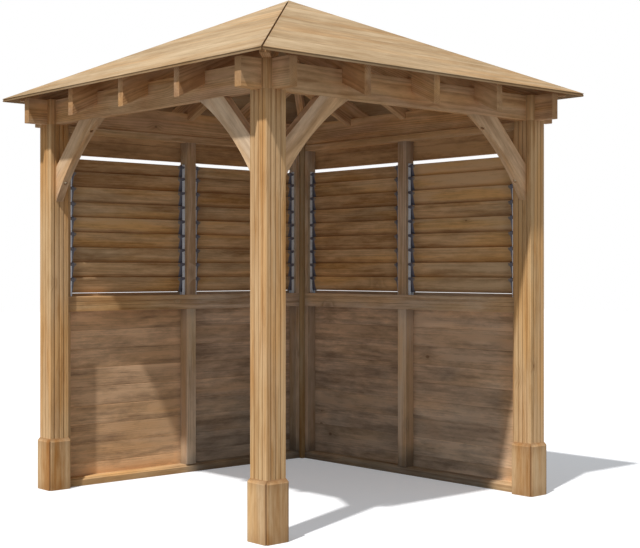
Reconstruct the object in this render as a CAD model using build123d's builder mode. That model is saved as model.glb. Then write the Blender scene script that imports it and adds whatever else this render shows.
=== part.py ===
from build123d import *
from math import ceil, cos, radians, sin, sqrt
import os

os.makedirs("parts", exist_ok=True)

# ---------------------------------------------------------------- driving dimensions
# Millimetres, +Z up, origin on the ground at the centre of the four posts.
# The front (-Y) and left (-X) sides are open; the back (+Y) and right (+X) sides are walls.
post_spacing = 2047.0  # centre to centre, both ways
post_side = 127.0
post_edge = 6.0  # chamfer on the long edges of the posts

beam_thickness = 50.0
beam_depth = 150.0
beam_bottom = 2237.0
beam_overrun = 129.0  # how far each beam runs past the outer face of the posts

boot_height = 315.0
boot_thickness = 14.0
boot_bevel_width = 20.0  # along the board's long edges
boot_bevel_depth = 5.5
boot_top_bevel = 16.0  # height of the bevel on the board's top
boot_mitre_gap = 0.3  # each board stops this far short of the mitre

brace_leg = 474.0  # along the beam, and down the post
brace_width = 150.0  # width of the board that the brace is cut from
brace_rise = 43.0  # how far the arched underside bites into the board
bolt_inset = 128.0  # from each end of the arch, along its chord
bolt_bore = 24.0
bolt_bore_depth = 60.0  # from the chord

eave_overrun = 40.0  # how far the roof runs past the ends of the beams
eave_lift = 14.0  # from the beams' tops up to the roof's upper edge at the eave
roof_rise = 585.0  # eave to apex
roof_board = 18.0  # thickness of the boarding, measured plumb

rafters_per_side = 3
rafter_spread = 29.0  # the rafters divide the posts' spacing and this much more
rafter_thickness = 47.0
rafter_plumb = 164.0  # depth of the common and jack rafters, measured plumb
hip_plumb = 130.0
hip_setback = 80.0  # from the eave to the hip's tail, measured along X or Y
king_half = 75.0  # half the width of the eight-sided block under the apex
king_height = 200.0

frame_depth = 73.0  # studs and rails of the two walls
frame_inset = 28.0  # from the inner faces of the posts to the inner face of the frame
stud_width = 75.0  # the middle studs
side_stud = 32.0  # the studs beside the posts
bottom_rail_height = 52.0
bottom_rail_slope = 14.0
cladding = 18.0  # thickness of the lower boards and the header boards
ground_gap = 8.0  # under the lower cladding
sill_top = 1181.0
sill_height = 94.0
sill_nose = 6.0  # how far the sill runs past the cladding, outside
header_depth = 171.5  # from the beams down to the lower edge of the header boards
top_rail_height = 43.0

blade_width = 98.0
blade_thickness = 7.0
blade_tilt = 14.0  # degrees from upright, top edge inwards
blade_pitch = 94.4
blade_least = 40.0  # the highest blade is cut narrower to fit, but not under this
lower_slot = 21.0  # from the sill to the lowest blade
upper_slot = 27.0  # from the highest blade to the header boards
channel_width = 30.0
channel_flange = 21.0
channel_sheet = 2.0
channel_overrun = 8.0  # how far the channels run up past the highest blade
clip_zone = 38.0  # from a stud to the end of a blade
clip_thickness = 11.0
clip_margin = 3.0  # how far the clip reaches past each long edge of the blade

# ---------------------------------------------------------------- derived places
half_spacing = post_spacing / 2
post_inner = half_spacing - post_side / 2
post_outer = half_spacing + post_side / 2
beam_top = beam_bottom + beam_depth
beam_end = post_outer + beam_overrun
beam_inner = half_spacing - beam_thickness / 2
beam_outer = half_spacing + beam_thickness / 2
roof_half = beam_end + eave_overrun
eave_top = beam_top + eave_lift
roof_slope = roof_rise / roof_half
soffit_eave = eave_top - roof_board
hip_tail = roof_half - hip_setback
rafter_pitch = (post_spacing + rafter_spread) / (rafters_per_side + 1)
frame_inner = post_inner + frame_inset
frame_outer = frame_inner + frame_depth
frame_middle = frame_inner + frame_depth / 2
mullion_half = stud_width / 2
sill_bottom = sill_top - sill_height
header_bottom = beam_bottom - header_depth
top_rail_bottom = beam_bottom - top_rail_height
blade_low = sill_top + lower_slot
blade_high = header_bottom - upper_slot
window_side = post_inner - side_stud
bay_middle = (mullion_half + window_side) / 2
bay_width = window_side - mullion_half
# The upright plane through the front left and back right corners.
diagonal = Plane(origin=(0, 0, 0), x_dir=(1, 1, 0), z_dir=(1, -1, 0))


def soffit(reach):
    """Height of the roof's underside at a distance from the centre along X or Y."""
    return soffit_eave + (roof_half - reach) * roof_slope


def save(piece, name):
    """Label a finished piece and write its STEP file."""
    piece.part.label = name
    export_step(piece.part, f"parts/{name}.step")


def save_turned(piece, name, angle):
    """Write a copy of a piece, turned about the vertical axis."""
    with BuildPart() as copy:
        add(piece.part.rotate(Axis.Z, angle))
    save(copy, name)


# ---------------------------------------------------------------- posts and boots
# Each corner's place, and the directions, in degrees from +X, of its faces that no wall meets.
corners = {
    "front_left": (-1, -1, (0, 90, 180, 270)),
    "front_right": (1, -1, (0, 180, 270)),
    "back_left": (-1, 1, (90, 180, 270)),
    "back_right": (1, 1, (0, 90)),
}

# A square post, slotted both ways at its top for the two beams.
with BuildPart() as post:
    with BuildSketch():
        Rectangle(post_side, post_side)
    extrude(amount=beam_top)
    chamfer(post.edges().filter_by(Axis.Z), post_edge)
    with BuildSketch(Plane.XY.offset(beam_bottom)):
        Rectangle(post_side, beam_thickness)
        Rectangle(beam_thickness, post_side)
    extrude(amount=beam_depth, mode=Mode.SUBTRACT)

# One boot board, on the +X face: mitred to its neighbours, bevelled along its edges and top.
boot_inside = post_side / 2
boot_outside = boot_inside + boot_thickness
mitre_corner = boot_outside - boot_bevel_depth
bevel_edge = boot_outside - boot_bevel_width

with BuildPart() as boot_board:
    with BuildSketch():
        with BuildLine():
            half_outline = Polyline(
                (boot_inside, 0),
                (boot_inside, boot_inside - boot_mitre_gap),
                (mitre_corner, mitre_corner - boot_mitre_gap),
                (boot_outside, bevel_edge),
                (boot_outside, 0),
            )
            mirror(half_outline, about=Plane.XZ)
        make_face()
    extrude(amount=boot_height)
    # The top falls outwards from the post's face.
    with BuildSketch(Plane.XZ):
        with BuildLine():
            Polyline(
                (boot_inside, boot_height),
                (2 * boot_outside, boot_height),
                (2 * boot_outside, boot_height - boot_top_bevel),
                (boot_outside, boot_height - boot_top_bevel),
                close=True,
            )
        make_face()
    extrude(amount=2 * boot_outside, both=True, mode=Mode.SUBTRACT)

for corner, (x_sign, y_sign, open_faces) in corners.items():
    centre = (x_sign * half_spacing, y_sign * half_spacing)
    with BuildPart() as placed_post:
        with Locations(centre):
            add(post.part)
    save(placed_post, f"{corner}_post")
    with BuildPart() as boot:
        with Locations(centre):
            for angle in open_faces:
                add(boot_board.part.rotate(Axis.Z, angle))
    save(boot, f"{corner}_boot")

# ---------------------------------------------------------------- beams
# Half-lapped where they cross: the front and back beams lose their upper half there,
# the left and right beams their lower half.
lap = beam_depth / 2


def make_beam(name, angle, lap_bottom):
    """A beam on the front side, lapped at both crossings, then turned to its own side."""
    with BuildPart() as beam:
        with Locations((0, -half_spacing, beam_bottom + beam_depth / 2)):
            Box(2 * beam_end, beam_thickness, beam_depth)
        with BuildSketch(Plane.XY.offset(lap_bottom)):
            with GridLocations(post_spacing, post_spacing, 2, 2):
                Rectangle(beam_thickness, beam_thickness)
        extrude(amount=lap, mode=Mode.SUBTRACT)
    save_turned(beam, name, angle)


make_beam("front_beam", 0, beam_bottom + lap)
make_beam("right_beam", 90, beam_bottom)
make_beam("back_beam", 180, beam_bottom + lap)
make_beam("left_beam", 270, beam_bottom)

# ---------------------------------------------------------------- knee braces
# Cut from a board laid at 45 degrees: straight on top, arched underneath.
arch_start = post_inner - brace_leg
brace_foot = beam_bottom - brace_leg
brace_shoulder = brace_leg - brace_width * sqrt(2)
arch_middle = (arch_start + brace_leg / 2 + brace_rise / sqrt(2),
               brace_foot + brace_leg / 2 + brace_rise / sqrt(2))
bolt_step = bolt_inset / sqrt(2)
bolt_places = (
    (arch_start + bolt_step, -half_spacing, beam_bottom - bolt_step),
    (post_inner - bolt_step, -half_spacing, brace_foot + bolt_step),
)

with BuildPart() as brace:
    with BuildSketch(Plane.XZ.offset(beam_inner)):
        with BuildLine():
            Polyline(
                (arch_start, beam_bottom),
                (post_inner - brace_shoulder, beam_bottom),
                (post_inner, beam_bottom - brace_shoulder),
                (post_inner, brace_foot),
            )
            ThreePointArc((post_inner, brace_foot), arch_middle, (arch_start, beam_bottom))
        make_face()
    extrude(amount=beam_thickness)
    # The bolts' counterbores, square to the board.
    for place in bolt_places:
        with Locations(Location(place, (0, 45, 0))):
            Cylinder(bolt_bore / 2, 2 * bolt_bore_depth, mode=Mode.SUBTRACT)

with BuildPart() as mirrored_brace:
    mirror(brace.part, about=Plane.YZ)

save_turned(brace, "front_right_brace", 0)
save_turned(mirrored_brace, "front_left_brace", 0)
save_turned(brace, "left_front_brace", 270)
save_turned(mirrored_brace, "left_back_brace", 270)

# ---------------------------------------------------------------- roof frame
hip_side = rafter_thickness / sqrt(2)  # half of the hip's width, measured along X or Y
hip_drop = hip_side / 2 * roof_slope  # lets the hip's upper edges meet the boarding
first_rafter = -rafter_pitch * (rafters_per_side - 1) / 2

# The front side's rafters: notched over the beam, plumb-cut at the tail.
with BuildPart() as rafters:
    for number in range(rafters_per_side):
        place = first_rafter + number * rafter_pitch
        head = max(abs(place) - rafter_thickness, king_half)
        with BuildSketch(Plane.YZ.offset(place)):
            with BuildLine():
                Polyline(
                    (-beam_end, soffit(beam_end)),
                    (-head, soffit(head)),
                    (-head, soffit(head) - rafter_plumb),
                    (-beam_inner, soffit(beam_inner) - rafter_plumb),
                    (-beam_inner, beam_top),
                    (-beam_outer, beam_top),
                    (-beam_outer, soffit(beam_outer) - rafter_plumb),
                    (-beam_end, soffit(beam_end) - rafter_plumb),
                    close=True,
                )
            make_face()
        extrude(amount=rafter_thickness / 2, both=True)
    # The jack rafters end on the sides of the hips.
    with BuildSketch(Plane.XY.offset(beam_top)):
        with BuildLine():
            Polyline(
                (-roof_half, -roof_half - hip_side),
                (0, -hip_side),
                (roof_half, -roof_half - hip_side),
                (roof_half, 0),
                (-roof_half, 0),
                close=True,
            )
        make_face()
    extrude(amount=roof_rise, mode=Mode.SUBTRACT)

for name, angle in (("front", 0), ("right", 90), ("back", 180), ("left", 270)):
    save_turned(rafters, f"{name}_rafters", angle)

# One hip rafter along the diagonal, flat underneath where it lies on the beams.
hip_seat = roof_half - (beam_top + hip_plumb + hip_drop - soffit_eave) / roof_slope
king_reach = king_half / sqrt(2)

with BuildPart() as hip:
    with BuildSketch(diagonal):
        with BuildLine():
            Polyline(
                (king_half, soffit(king_reach) - hip_drop),
                (hip_tail * sqrt(2), soffit(hip_tail) - hip_drop),
                (hip_tail * sqrt(2), beam_top),
                (hip_seat * sqrt(2), beam_top),
                (king_half, soffit(king_reach) - hip_drop - hip_plumb),
                close=True,
            )
        make_face()
    extrude(amount=rafter_thickness / 2, both=True)

with BuildPart() as hips:
    for angle in (0, 90, 180, 270):
        add(hip.part.rotate(Axis.Z, angle))
save(hips, "hip_rafters")

# The eight-sided block that the rafters and hips meet at.
with BuildPart() as king_block:
    with BuildSketch(Plane.XY.offset(soffit(king_half) - king_height)):
        RegularPolygon(king_half, 8, major_radius=False, rotation=22.5)
    extrude(amount=king_height)
save(king_block, "roof_block")

# ---------------------------------------------------------------- roof faces
# The front face: a slab on the slope, cut plumb along both hips.
with BuildPart() as roof_face:
    with BuildSketch(Plane.YZ):
        with BuildLine():
            Polyline(
                (-roof_half, soffit_eave),
                (-roof_half, eave_top),
                (0, eave_top + roof_rise),
                (0, soffit(0)),
                close=True,
            )
        make_face()
    extrude(amount=roof_half, both=True)
    with BuildSketch(Plane.XY.offset(soffit_eave)):
        with BuildLine():
            Polyline((0, 0), (-roof_half, -roof_half), (roof_half, -roof_half), close=True)
        make_face()
    extrude(amount=roof_rise + roof_board, mode=Mode.INTERSECT)

for name, angle in (("front", 0), ("right", 90), ("back", 180), ("left", 270)):
    save_turned(roof_face, f"{name}_roof", angle)

# ---------------------------------------------------------------- walls
# Each piece is modelled on the back wall, and the right wall is its mirror image.


def save_walls(piece, name):
    """Write a piece for the back wall and its mirror image for the right wall."""
    save(piece, f"back_{name}")
    with BuildPart() as image:
        mirror(piece.part, about=diagonal)
    save(image, f"right_{name}")


with BuildPart() as bottom_rail:
    with Locations((0, frame_middle, bottom_rail_height / 2)):
        Box(2 * post_inner, frame_depth, bottom_rail_height)
    inner_face = bottom_rail.faces().sort_by(Axis.Y)[0]
    chamfer(inner_face.edges().sort_by(Axis.Z)[-1], bottom_rail_slope)
save_walls(bottom_rail, "bottom_rail")

# One stud in the middle and one beside each post, under the sill and again above it.
with BuildSketch() as stud_plan:
    with Locations((0, frame_middle)):
        Rectangle(stud_width, frame_depth)
    for stud_place in (side_stud / 2 - post_inner, post_inner - side_stud / 2):
        with Locations((stud_place, frame_middle)):
            Rectangle(side_stud, frame_depth)

with BuildPart() as studs:
    with BuildSketch(Plane.XY.offset(bottom_rail_height)):
        add(stud_plan)
    extrude(amount=sill_bottom - bottom_rail_height)
    with BuildSketch(Plane.XY.offset(sill_top)):
        add(stud_plan)
    extrude(amount=top_rail_bottom - sill_top)
save_walls(studs, "studs")

with BuildPart() as lower_boards:
    with BuildSketch(Plane.XY.offset(ground_gap)):
        with Locations((0, frame_outer + cladding / 2)):
            Rectangle(2 * post_inner, cladding)
    extrude(amount=sill_bottom - ground_gap)
save_walls(lower_boards, "lower_boards")

with BuildPart() as sill:
    sill_depth = frame_depth + cladding + sill_nose
    with BuildSketch(Plane.XY.offset(sill_bottom)):
        with Locations((0, frame_inner + sill_depth / 2)):
            Rectangle(2 * post_inner, sill_depth)
    extrude(amount=sill_height)
save_walls(sill, "sill")

with BuildPart() as top_rail:
    with Locations((0, frame_middle, beam_bottom - top_rail_height / 2)):
        Box(2 * post_inner, frame_depth, top_rail_height)
save_walls(top_rail, "top_rail")

# The header boards are nailed to the outside of the studs and the top rail.
with BuildPart() as header_boards:
    with BuildSketch(Plane.XY.offset(header_bottom)):
        with Locations((0, frame_outer + cladding / 2)):
            Rectangle(2 * post_inner, cladding)
    extrude(amount=header_depth)
save_walls(header_boards, "header_boards")

# ---------------------------------------------------------------- louvre windows
tilt = radians(blade_tilt)
blade_upright = blade_width * cos(tilt) + blade_thickness * sin(tilt)
blade_length = bay_width - 2 * clip_zone
blade_count = ceil((blade_high - blade_low - blade_least) / blade_pitch)

# The height of each blade's middle, with its width.
blade_rows = []
for number in range(blade_count):
    lower_edge = blade_low + number * blade_pitch
    upper_edge = min(lower_edge + blade_upright, blade_high)
    width = (upper_edge - lower_edge - blade_thickness * sin(tilt)) / cos(tilt)
    blade_rows.append(((lower_edge + upper_edge) / 2, width))

with BuildPart() as blades:
    for side in (-1, 1):
        for height, width in blade_rows:
            with Locations(Location((side * bay_middle, frame_middle, height), (blade_tilt, 0, 0))):
                Box(blade_length, blade_thickness, width)
save_walls(blades, "louvre_blades")

# One channel with its blade clips, for the left end of a bay: its web lies in the YZ plane.
with BuildPart() as channel:
    with BuildSketch(Plane.XY.offset(sill_top)):
        with Locations((channel_flange / 2, 0)):
            Rectangle(channel_flange, channel_width)
        with Locations((channel_sheet + channel_flange / 2, 0)):
            Rectangle(channel_flange, channel_width - 2 * channel_sheet, mode=Mode.SUBTRACT)
    extrude(amount=blade_high + channel_overrun - sill_top)
    for height, width in blade_rows:
        with Locations(Location((clip_zone / 2, 0, height), (blade_tilt, 0, 0))):
            Box(clip_zone, clip_thickness, width + 2 * clip_margin)

with BuildPart() as channels:
    for left_end in (-window_side, mullion_half):
        with Locations((left_end, frame_middle, 0)):
            add(channel.part)
    for right_end in (-mullion_half, window_side):
        with Locations((right_end, frame_middle, 0)):
            add(mirror(channel.part, about=Plane.YZ, mode=Mode.PRIVATE))
save_walls(channels, "louvre_channels")
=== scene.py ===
import bpy
import math
import numpy as np
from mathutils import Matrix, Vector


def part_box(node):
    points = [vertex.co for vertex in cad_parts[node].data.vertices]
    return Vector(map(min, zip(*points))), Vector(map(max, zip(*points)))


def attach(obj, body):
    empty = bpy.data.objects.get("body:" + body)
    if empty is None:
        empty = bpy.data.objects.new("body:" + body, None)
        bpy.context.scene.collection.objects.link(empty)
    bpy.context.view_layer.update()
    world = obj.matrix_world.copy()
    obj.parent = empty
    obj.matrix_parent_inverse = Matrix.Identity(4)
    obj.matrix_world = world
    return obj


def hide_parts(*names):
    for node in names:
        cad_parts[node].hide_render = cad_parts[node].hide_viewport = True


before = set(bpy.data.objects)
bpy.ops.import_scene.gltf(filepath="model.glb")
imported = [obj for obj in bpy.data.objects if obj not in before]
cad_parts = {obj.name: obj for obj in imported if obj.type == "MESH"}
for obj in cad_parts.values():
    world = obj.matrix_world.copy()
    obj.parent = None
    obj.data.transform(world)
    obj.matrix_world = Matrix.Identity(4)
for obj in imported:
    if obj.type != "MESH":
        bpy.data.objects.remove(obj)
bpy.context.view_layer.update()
rng = np.random.default_rng(41)  # every random draw of the script comes from here


def boxOf(node):
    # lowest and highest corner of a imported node, as arrays
    return [np.array(corner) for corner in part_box(node)]


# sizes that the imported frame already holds
postLow, postHigh = boxOf("front_right_post")
halfSpacing = (postLow[0] + postHigh[0]) / 2
postHalf = (postHigh[0] - postLow[0]) / 2
postInner = halfSpacing - postHalf
beamLow, beamHigh = boxOf("front_beam")
beamBottom, beamTop, beamEnd = beamLow[2], beamHigh[2], beamHigh[0]
beamHalf = (beamHigh[1] - beamLow[1]) / 2
beamInner, beamOuter = halfSpacing - beamHalf, halfSpacing + beamHalf
blockLow, blockHigh = boxOf("roof_block")
blockHalf = blockHigh[0]
roofLow, roofHigh = boxOf("front_roof")
roofHalf, soffitEave = -roofLow[1], roofLow[2]
slope = (blockHigh[2] - soffitEave) / (roofHalf - blockHalf)
frameInner, frameOuter = (corner[1] for corner in boxOf("back_studs"))
railTop = boxOf("back_bottom_rail")[1][2]
sillLow, sillHigh = boxOf("back_sill")
corners = {corner: np.array([x, y, 0]) * halfSpacing for corner, x, y in (  # the middles of the posts
    ("front_left", -1, -1), ("front_right", 1, -1), ("back_left", -1, 1), ("back_right", 1, 1))}
sides = ("front", "right", "back", "left")  # each is the one before, a quarter turn on


def soffit(reach):
    # height of the underside of the roof: it rises by the slope from the eave to the middle
    return soffitEave + (roofHalf - reach) * slope


print("frame read")


def turned(points, quarter):
    # points turned about Z by quarter right angles: x' = x cos - y sin, y' = x sin + y cos
    c, s = ((1, 0), (0, 1), (-1, 0), (0, -1))[quarter % 4]
    return np.asarray(points, float) @ np.array([[c, s, 0], [-s, c, 0], [0, 0, 1]])


def acrossDiagonal(points):
    # mirror image in the upright plane x = y, which swaps x and y
    return np.asarray(points, float)[..., [1, 0, 2]]


def skin(rings):
    # rings[i, j] is point j of cross-section i: quads join neighbours, both end rings are closed,
    # and all faces are turned over if the enclosed volume comes out negative
    count, around = rings.shape[:2]
    ids = np.arange(count * around).reshape(count, around)
    beside = np.roll(ids, -1, axis=1)
    quads = np.stack([ids[:-1], beside[:-1], beside[1:], ids[1:]], axis=-1).reshape(-1, 4)
    caps = [ids[0, ::-1], ids[-1]]
    points = rings.reshape(-1, 3)
    a, b, c, d = (points[quads[:, k]] - points[0] for k in range(4))
    volume = (np.cross(a, b) * c).sum() + (np.cross(a, c) * d).sum()
    for cap in caps:
        p = points[cap] - points[0]
        volume += (np.cross(p[0], p[1:-1]) * p[2:]).sum()
    faces = quads.tolist() + [cap.tolist() for cap in caps]
    if volume < 0:
        faces = [face[::-1] for face in faces]
    return points, faces


def between(outline, start, end, axis):
    # two rings: a flat outline set at two places along an axis (0, 1 or 2)
    outline = np.asarray(outline, float)
    return np.array([np.insert(outline, axis, place, axis=1) for place in (start, end)])


def disc(radius, sides, start, end, centre, axis, turn=0.0):
    # a flat drum with that many sides along an axis: centre + axis * place + radius (cos, sin)
    axis = np.array(axis, float) / np.linalg.norm(axis)
    helper = np.array((0, 0, 1.0)) if abs(axis[2]) < 0.9 else np.array((1.0, 0, 0))
    u = np.cross(axis, helper) / np.linalg.norm(np.cross(axis, helper))
    v = np.cross(axis, u)
    angle = turn + 2 * np.pi * np.arange(sides) / sides
    ring = radius * (np.cos(angle)[:, None] * u + np.sin(angle)[:, None] * v) + centre
    return np.array([ring + axis * start, ring + axis * end])


# what every board's points carry into its material, and where in a trunk boards are cut from
layers = {"timber": "vector", "place": "vector", "half": "vector", "tone": "value", "shadeDirtMask": "value",
          "weather": "value"}
trunk = dict(fromPith=(0.012, 0.07), length=70, aside=0.6, pithInside=0.25)


def newStore():
    # an empty list of a piece's points, of their layers and of its faces
    return {"points": [], "faces": [], "count": 0, **{key: [] for key in layers}}


def addSolid(store, points, faces, grain, facing, pithInside=False, shadeDirtMask=0.0, tone=None, weather=1.0):
    # a board's own axes are its grain, its width and its facing; timber = place along them + a random
    # shift, so that each board is cut from another part of a trunk whose pith is the line y = z = 0;
    # shadeDirtMask is 1 where the colour is darkened, by dirt inside joints and by painted shade in grooves,
    # recesses, undersides and on shaded sides; tone is 0 for a pale board and 1 for a dark one, and weather
    # is how far the board has greyed, which along the walls also paints sun and shade: low and warmer where
    # the sun falls, high and greyer in the shade
    grain, facing = (np.array(way, float) / np.linalg.norm(way) for way in (grain, facing))
    local = points @ np.array([grain, np.cross(facing, grain), facing]).T
    half = (local.max(axis=0) - local.min(axis=0)) / 2
    place = local - local.min(axis=0) - half
    away = half[2] + rng.uniform(*trunk["fromPith"])
    along, aside = rng.uniform(0, trunk["length"]), rng.uniform(-trunk["aside"], trunk["aside"]) * half[1]
    shift = np.array([along, aside, away * rng.choice([-1, 1])])
    if pithInside:
        shift[1:] = rng.uniform(-trunk["pithInside"], trunk["pithInside"], 2) * half[1:]
    drawn = rng.uniform(0, 1)
    ones = np.ones(len(points))
    for key, values in (("points", points), ("timber", place + shift), ("place", place),
                        ("half", ones[:, None] * half), ("tone", ones * (drawn if tone is None else tone)),
                        ("shadeDirtMask", ones * shadeDirtMask), ("weather", ones * weather)):
        store[key].append(values)
    store["faces"] += [[index + store["count"] for index in face] for face in faces]
    store["count"] += len(points)


def addBoard(store, rings, grain, facing, pithInside=False, shadeDirtMask=0.0, tone=None, weather=1.0):
    # shadeDirtMask is one value, or a value for each point of the cross-section
    points, faces = skin(np.asarray(rings, float))
    shadeDirtMask = np.tile(shadeDirtMask, len(points) // np.size(shadeDirtMask))
    addSolid(store, points, faces, grain, facing, pithInside, shadeDirtMask, tone, weather)


def addTurned(store, quarter, *ways, shadeDirtMask=0.0):
    # the rings, the grain and the facing of a front board, turned to another side
    addBoard(store, *(turned(way, quarter) for way in ways), shadeDirtMask=shadeDirtMask)


def newObject(name, data):
    # an object of the scene around a mesh, a lamp or a camera
    made = bpy.data.objects.new(name, data)
    bpy.context.scene.collection.objects.link(made)
    return made


def makePiece(name, store, material, nodes, ease=0.0, sharpAngle=35):
    # turns a store into one object at the origin; ease is the width rounded off its sharp edges
    mesh = bpy.data.meshes.new(name)
    mesh.from_pydata(np.concatenate(store["points"]).tolist(), [], store["faces"])
    for key, kind in layers.items():
        layer = mesh.attributes.new(key, "FLOAT" if kind == "value" else "FLOAT_VECTOR", "POINT")
        layer.data.foreach_set(kind, np.concatenate(store[key]).astype(np.float32).ravel())
    mesh.polygons.foreach_set("use_smooth", np.ones(len(mesh.polygons), bool))
    if not ease:
        mesh.set_sharp_from_angle(angle=math.radians(sharpAngle))
    mesh.materials.append(material)
    piece = newObject(name, mesh)
    if ease:
        rounding = piece.modifiers.new("easedEdges", "BEVEL")
        rounding.width = ease
        rounding.segments = 2
        rounding.limit_method = "ANGLE"
        rounding.angle_limit = math.radians(sharpAngle)
        rounding.harden_normals = True
    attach(piece, "root")
    if nodes:
        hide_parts(*nodes)
    return piece


def isSocket(value):
    # whether a value comes out of a node, rather than being a number, a vector or a colour
    return isinstance(value, bpy.types.NodeSocket)


def feed(target, value):
    # a socket is linked, anything else is set as the value
    if isSocket(value):
        target.id_data.links.new(value, target)
    else:
        target.default_value = value


def addNode(kind, inputs=None, tree=None, **settings):
    # makes a node in the given tree, or else in the one that its inputs come from, and gives its outputs
    inputs = inputs or {}
    tree = tree or next(value.id_data for value in inputs.values() if isSocket(value))
    node = tree.nodes.new("ShaderNode" + kind)
    for key, value in settings.items():
        setattr(node, key, value)
    for key, value in inputs.items():
        feed(node.inputs[key], value)
    return node.outputs


def calc(operation, a, b=0.0, c=0.0):
    # arithmetic on numbers, each a socket or a value
    return addNode("Math", {0: a, 1: b, 2: c}, operation=operation)[0]


def times(a, b):
    return calc("MULTIPLY", a, b)


def minus(a, b):
    return calc("SUBTRACT", a, b)


def summed(start, *parts):
    # start plus each part's value times its amount
    for value, amount in parts:
        start = calc("MULTIPLY_ADD", value, amount, start)
    return start


def vectorCalc(operation, a, b=(0, 0, 0), out=0):
    # arithmetic on vectors; a length comes out at 1
    return addNode("VectorMath", {0: a, 1: b}, operation=operation)[out]


def ramp(value, low, high):
    # smooth step of value from low to high
    inputs = {"Value": value, "From Min": low, "From Max": high, "To Min": 0.0, "To Max": 1.0}
    return addNode("MapRange", inputs, interpolation_type="SMOOTHSTEP")[0]


def blendColour(factor, a, b, mode="MIX"):
    # a where the factor is 0, b where it is 1
    return addNode("Mix", {0: factor, 6: a, 7: b}, data_type="RGBA", blend_type=mode)[2]


def tinted(colour, tint):
    # colour times tint, channel by channel
    return blendColour(1.0, colour, tint, "MULTIPLY")


def noise(vector, stretch, detail=2.0, roughness=0.5):
    # noise of the vector times a stretch, from 0 to 1
    inputs = {"Vector": vectorCalc("MULTIPLY", vector, stretch), "Scale": 1.0, "Detail": detail,
              "Roughness": roughness}
    return addNode("TexNoise", inputs)["Fac"]


def newGroup(name, inputs, outputs):
    # inputs and outputs map each kind of socket to the names of its sockets
    group = bpy.data.node_groups.new(name, "ShaderNodeTree")
    for way, sockets in (("INPUT", inputs), ("OUTPUT", outputs)):
        for kind, labels in sockets.items():
            for label in labels.split():
                group.interface.new_socket(label, in_out=way, socket_type="NodeSocket" + kind)
    return group, group.nodes.new("NodeGroupInput").outputs, group.nodes.new("NodeGroupOutput").inputs


# the pattern of softwood: a noise is (stretch, detail, roughness), an edge is (from, to), and the relief
# and roughness are where they start and what the marks add to them
grainLook = dict(
    bendNoise=((2.6, 6, 6), 3.0), bend=0.045, warpNoise=((0.9, 7, 7),), warp=0.03,
    knotCells=(2.1, 7.5, 7.5), knotShape=(0.62, 1, 1), knotSize=(0.010, 0.0045), knotEdge=(1.1, 0.6),
    haloEdge=(6.0, 0.8), swell=1.2, knotShade=0.5, haloShade=0.22, lateRise=(0.2, 0.85),
    lateFall=(1.0, 0.9), lateMean=0.4, depth=0.42, streakNoise=((0.8, 46, 46), 5.0, 0.65),
    fibreNoise=((9, 380, 380),), patchNoise=((1.2, 11, 11), 4.0, 0.55),
    mottleNoise=((5, 20, 20), 6.0, 0.68), fibres=0.5, tones=0.5, coolNoise=((0.9, 6.5, 6.5), 3.0),
    coolEdge=(0.45, 0.65), warmShift=(3.7, 1.9, 5.3), warmNoise=((1.1, 9, 9), 3.0), warmEdge=(0.45, 0.66),
    relief=(0.3, (0.8, 0.5, 0.8, -0.5)), roughness=(0.8, (-0.1, 0.3, -0.12)))
# what each finish sets for itself
grainColours = "Early Late Knot Cool Warm"
grainAmounts = "RingWidth Rings Streaks Patches Knots Fineness Mottle"


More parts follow.
